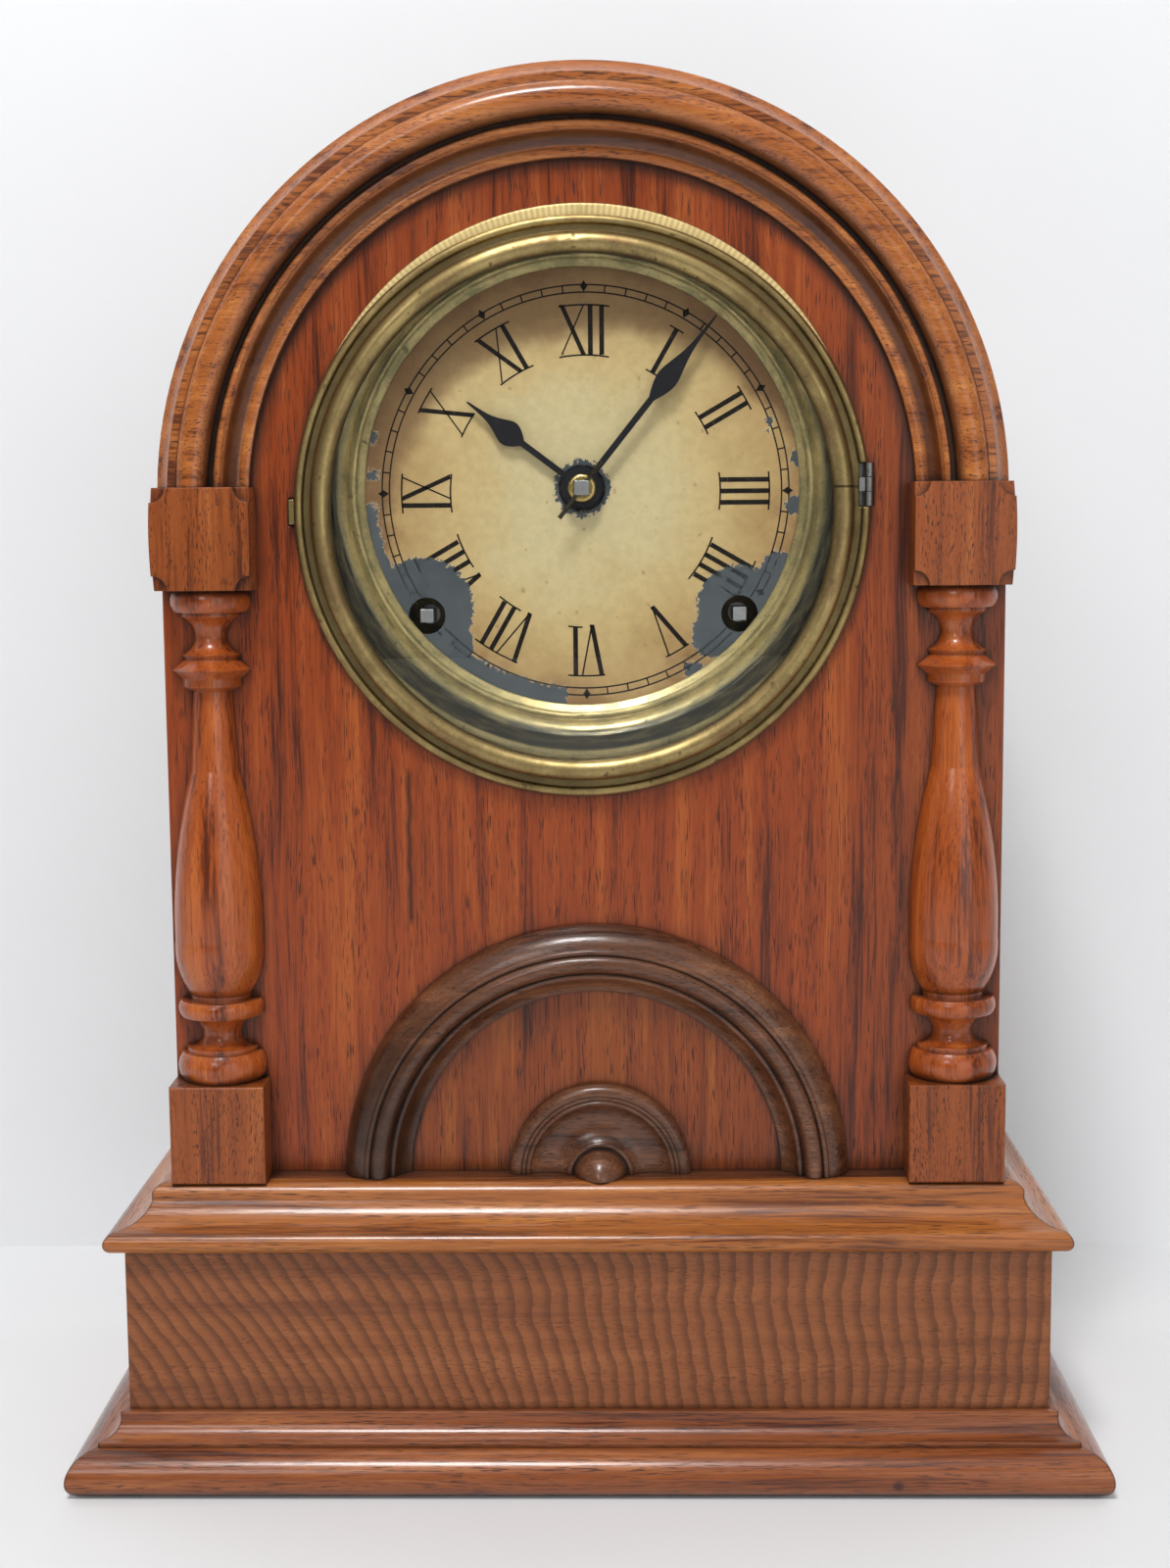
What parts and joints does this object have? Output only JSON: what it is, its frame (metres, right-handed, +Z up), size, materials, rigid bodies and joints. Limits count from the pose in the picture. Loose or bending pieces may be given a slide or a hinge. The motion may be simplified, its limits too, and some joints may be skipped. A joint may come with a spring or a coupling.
{
  "type": "shelf clock",
  "caption": "Round-top wooden shelf clock on a moulded base, with turned half columns, a hinged glazed bezel over a paper dial, and a spring-driven striking movement.",
  "frame": {"origin": "middle of the footprint, on the surface the clock stands on", "axes": "+Z up, the dial faces -Y, +X to the right of a viewer in front of the dial"},
  "size_m": [0.314, 0.15, 0.424],
  "materials": {
    "walnut_veneer": "worn shellac over straight-grained walnut",
    "walnut_moulding": "worn golden shellac",
    "walnut_dark": "dark stained walnut",
    "pine": "bare softwood",
    "brass": "aged",
    "zinc": "dull grey sheet",
    "dial_paper": "yellowed",
    "blued_steel": "blued, nearly black",
    "steel": "plain",
    "iron": "japanned",
    "glass": "clear flat glass"
  },
  "bodies": {
    "case": {"foot_front": "walnut_veneer", "foot_returns": "walnut_veneer", "ogee_front": "walnut_veneer", "ogee_returns": "walnut_veneer", "frieze_front": "walnut_veneer", "frieze_sides": "walnut_veneer", "base_back": "pine", "surbase_front": "walnut_moulding", "surbase_returns": "walnut_moulding", "base_deck": "walnut_dark", "case_shell": "walnut_dark", "front_panel": "walnut_veneer", "arch_moulding": "walnut_moulding", "cap_block_left": "walnut_veneer", "cap_block_right": "walnut_veneer", "half_column_left": "walnut_moulding", "half_column_right": "walnut_moulding", "plinth_block_left": "walnut_veneer", "plinth_block_right": "walnut_veneer", "lunette_moulding": "walnut_dark", "half_rosette": "walnut_dark", "back_board": "pine", "back_fixed_hardware": "brass", "bezel_hinge_fixed": "brass", "sight_ring": "brass", "dial_pan": "zinc", "dial_paper": "dial_paper", "front_plate": "brass", "back_plate": "brass", "plate_pillars": "steel", "mainsprings": "blued_steel", "gong": "blued_steel", "gong_block": "iron"},
    "bezel": {"bezel_ring": "brass", "bezel_glass": "glass", "bezel_hinge_moving": "brass", "bezel_catch": "brass"},
    "door": {"back_door": "pine", "back_hinge_moving": "brass"},
    "button": {"turn_button": "brass"},
    "minute": {"centre_arbor": "steel", "minute_hand": "blued_steel", "hand_collet": "brass"},
    "hour": {"hour_wheel": "brass", "hour_hand": "blued_steel"},
    "motion": {"motion_wheel": "brass"},
    "time_great": {"time_great_wheel": "brass"},
    "time_second": {"time_second_wheel": "brass"},
    "time_third": {"time_third_wheel": "brass"},
    "escape": {"escape_wheel": "brass"},
    "strike_great": {"strike_great_wheel": "brass"},
    "strike_second": {"strike_second_wheel": "brass"},
    "strike_third": {"strike_third_wheel": "brass"},
    "fly": {"strike_fly": "brass"},
    "time_winding": {"time_winding_arbor": "steel"},
    "strike_winding": {"strike_winding_arbor": "steel"},
    "verge": {"verge": "steel"},
    "pendulum": {"pendulum_rod": "steel", "pendulum_bob": "brass"},
    "hammer": {"hammer": "steel"}
  },
  "joints": [
    {"name": "bezel_swing", "type": "hinge", "parent": "case", "child": "bezel", "pos_m": [0.0856, -0.039, 0.3008], "axis": [0, 0, 1], "range_deg": [0, 112]},
    {"name": "back_door_swing", "type": "hinge", "parent": "case", "child": "door", "pos_m": [0.0653, 0.0733, 0.191], "axis": [0, 0, -1], "range_deg": [0, 115]},
    {"name": "turn_button_turn", "type": "hinge", "parent": "case", "child": "button", "pos_m": [-0.074, 0.0734, 0.191], "axis": [0, 1, 0], "range_deg": [0, 90]},
    {"name": "minute_turn", "type": "hinge", "parent": "case", "child": "minute", "pos_m": [0, 0, 0.3005], "axis": [0, 1, 0], "continuous": true},
    {"name": "hour_turn", "type": "hinge", "parent": "case", "child": "hour", "pos_m": [0, 0, 0.3005], "axis": [0, 1, 0], "continuous": true},
    {"name": "motion_turn", "type": "hinge", "parent": "case", "child": "motion", "pos_m": [0, 0, 0.2845], "axis": [0, 1, 0], "continuous": true},
    {"name": "time_third_turn", "type": "hinge", "parent": "case", "child": "time_third", "pos_m": [0.0155, 0, 0.31097], "axis": [0, 1, 0], "continuous": true},
    {"name": "time_second_turn", "type": "hinge", "parent": "case", "child": "time_second", "pos_m": [0.0245, 0, 0.28894], "axis": [0, 1, 0], "continuous": true},
    {"name": "time_great_turn", "type": "hinge", "parent": "case", "child": "time_great", "pos_m": [0.0476, 0, 0.2623], "axis": [0, 1, 0], "continuous": true},
    {"name": "escape_turn", "type": "hinge", "parent": "case", "child": "escape", "pos_m": [0, 0, 0.31745], "axis": [0, 1, 0], "continuous": true},
    {"name": "strike_third_turn", "type": "hinge", "parent": "case", "child": "strike_third", "pos_m": [-0.0155, 0, 0.31097], "axis": [0, 1, 0], "continuous": true},
    {"name": "strike_second_turn", "type": "hinge", "parent": "case", "child": "strike_second", "pos_m": [-0.0245, 0, 0.28894], "axis": [0, 1, 0], "continuous": true},
    {"name": "strike_great_turn", "type": "hinge", "parent": "case", "child": "strike_great", "pos_m": [-0.0476, 0, 0.2623], "axis": [0, 1, 0], "continuous": true},
    {"name": "fly_turn", "type": "hinge", "parent": "case", "child": "fly", "pos_m": [-0.02837, 0, 0.32177], "axis": [0, 1, 0], "continuous": true},
    {"name": "time_winding_turn", "type": "hinge", "parent": "case", "child": "time_winding", "pos_m": [0.0476, 0, 0.2623], "axis": [0, 1, 0], "range_deg": [0, 2880]},
    {"name": "strike_winding_turn", "type": "hinge", "parent": "case", "child": "strike_winding", "pos_m": [-0.0476, 0, 0.2623], "axis": [0, -1, 0], "range_deg": [0, 2880]},
    {"name": "pendulum_swing", "type": "hinge", "parent": "case", "child": "pendulum", "pos_m": [0, 0, 0.33345], "axis": [0, 1, 0], "range_deg": [-5, 5]},
    {"name": "verge_rock", "type": "hinge", "parent": "case", "child": "verge", "pos_m": [0, 0, 0.33345], "axis": [0, 1, 0], "range_deg": [-5.2, 5.2]},
    {"name": "hammer_lift", "type": "hinge", "parent": "case", "child": "hammer", "pos_m": [-0.058, 0, 0.3105], "axis": [0, 1, 0], "range_deg": [0, 7.5], "stiffness_Nm_per_rad": 0.004, "springref_deg": -5.73}
  ],
  "couplings": [
    {"joint": "hour_turn", "follows": "minute_turn", "ratio": 0.083333},
    {"joint": "motion_turn", "follows": "minute_turn", "ratio": -0.33333},
    {"joint": "time_second_turn", "follows": "time_third_turn", "ratio": -0.13333},
    {"joint": "time_great_turn", "follows": "time_third_turn", "ratio": 0.013675},
    {"joint": "escape_turn", "follows": "time_third_turn", "ratio": -6},
    {"joint": "strike_second_turn", "follows": "strike_third_turn", "ratio": -0.13333},
    {"joint": "strike_great_turn", "follows": "strike_third_turn", "ratio": 0.013675},
    {"joint": "fly_turn", "follows": "strike_third_turn", "ratio": -6},
    {"joint": "verge_rock", "follows": "pendulum_swing", "ratio": 1}
  ]
}
